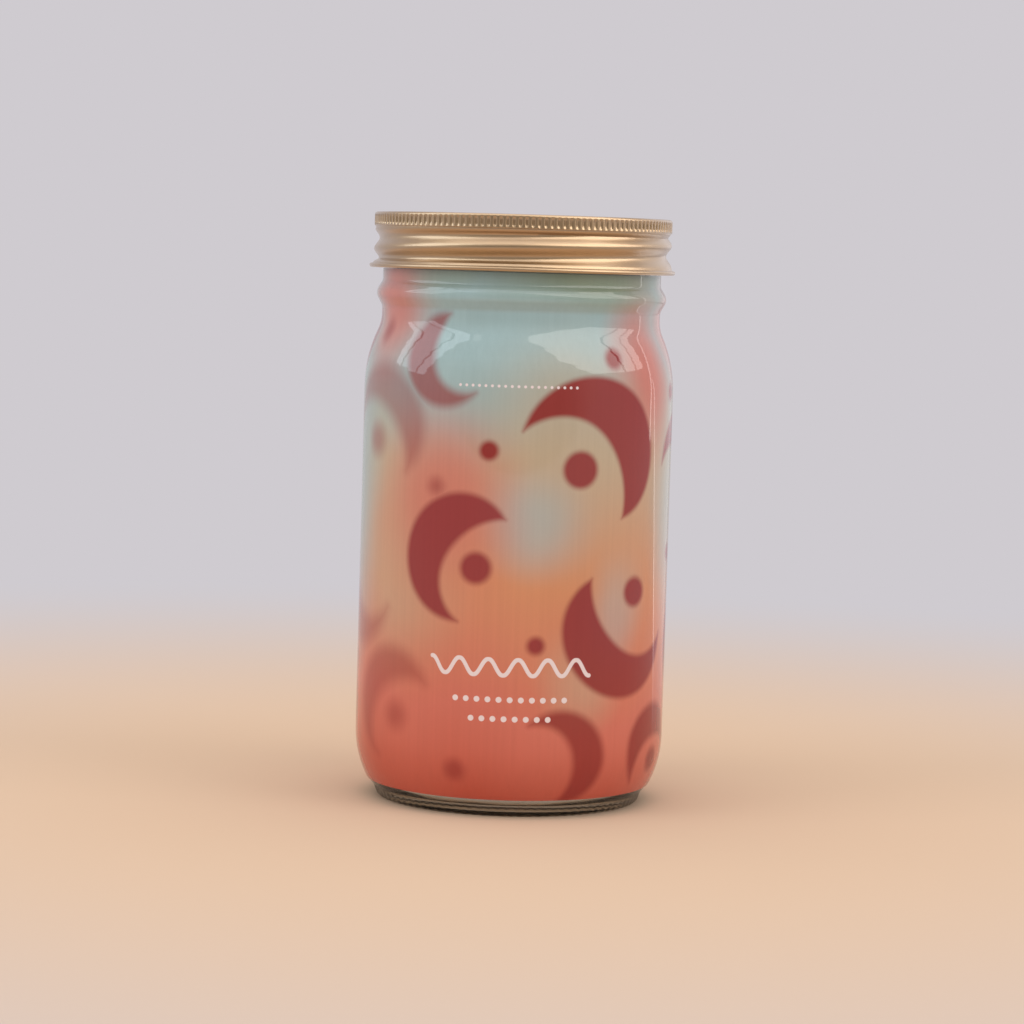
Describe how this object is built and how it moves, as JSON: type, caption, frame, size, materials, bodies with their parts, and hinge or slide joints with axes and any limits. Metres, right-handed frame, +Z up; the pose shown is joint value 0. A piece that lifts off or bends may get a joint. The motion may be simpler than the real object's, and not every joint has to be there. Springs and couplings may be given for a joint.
{
  "type": "hydroponic jar planter",
  "caption": "Wide-mouth glass jar in a glossy printed sleeve with a gold screw lid; a perforated pot with a felt wick hangs in its mouth over the water space.",
  "frame": {"origin": "centre of the face it stands on, at the bottom centre of the whole object", "axes": "+Z up along the jar's axis; -Y is the printed front that the picture shows"},
  "size_m": [0.0926, 0.0926, 0.1748],
  "materials": {
    "clear_glass": "clear polished glass",
    "printed_film": "glossy printed film",
    "gold_band": "satin gold lacquer on tinplate",
    "gold_disc": "satin gold lacquer on tinplate",
    "seal_compound": "matt sealing compound",
    "stainless": "brushed",
    "felt": "needled felt",
    "coir": "pressed coconut fibre",
    "carbon_paper": "porous filter paper",
    "food_film": "matt laminated film",
    "packet_paper": "uncoated kraft paper",
    "card_stock": "uncoated card"
  },
  "bodies": {
    "jar": {"glass_jar": "clear_glass", "printed_sleeve": "printed_film", "carbon_sachet": "carbon_paper", "food_sachet": "food_film", "seed_packet": "packet_paper", "growing_card": "card_stock"},
    "lid": {"lid_disc": "gold_disc", "lid_seal": "seal_compound"},
    "band": {"screw_band": "gold_band"},
    "pot": {"net_pot": "stainless", "wick": "felt", "grow_medium": "coir"}
  },
  "joints": [
    {"name": "lid_lift", "type": "slide", "parent": "jar", "child": "lid", "axis": [0, 0, 1], "range_m": [0, 0.01588]},
    {"name": "band_turn", "type": "hinge", "parent": "lid", "child": "band", "pos_m": [0, 0, 0.1665], "axis": [0, 0, 1], "range_deg": [0, 900]},
    {"name": "pot_lift", "type": "slide", "parent": "jar", "child": "pot", "axis": [0, 0, 1], "range_m": [0, 0.008]}
  ],
  "couplings": [
    {"joint": "band_turn", "follows": "lid_lift", "rad_per_m": 989.48},
    {"joint": "pot_lift", "follows": "lid_lift", "ratio": 0.5}
  ]
}
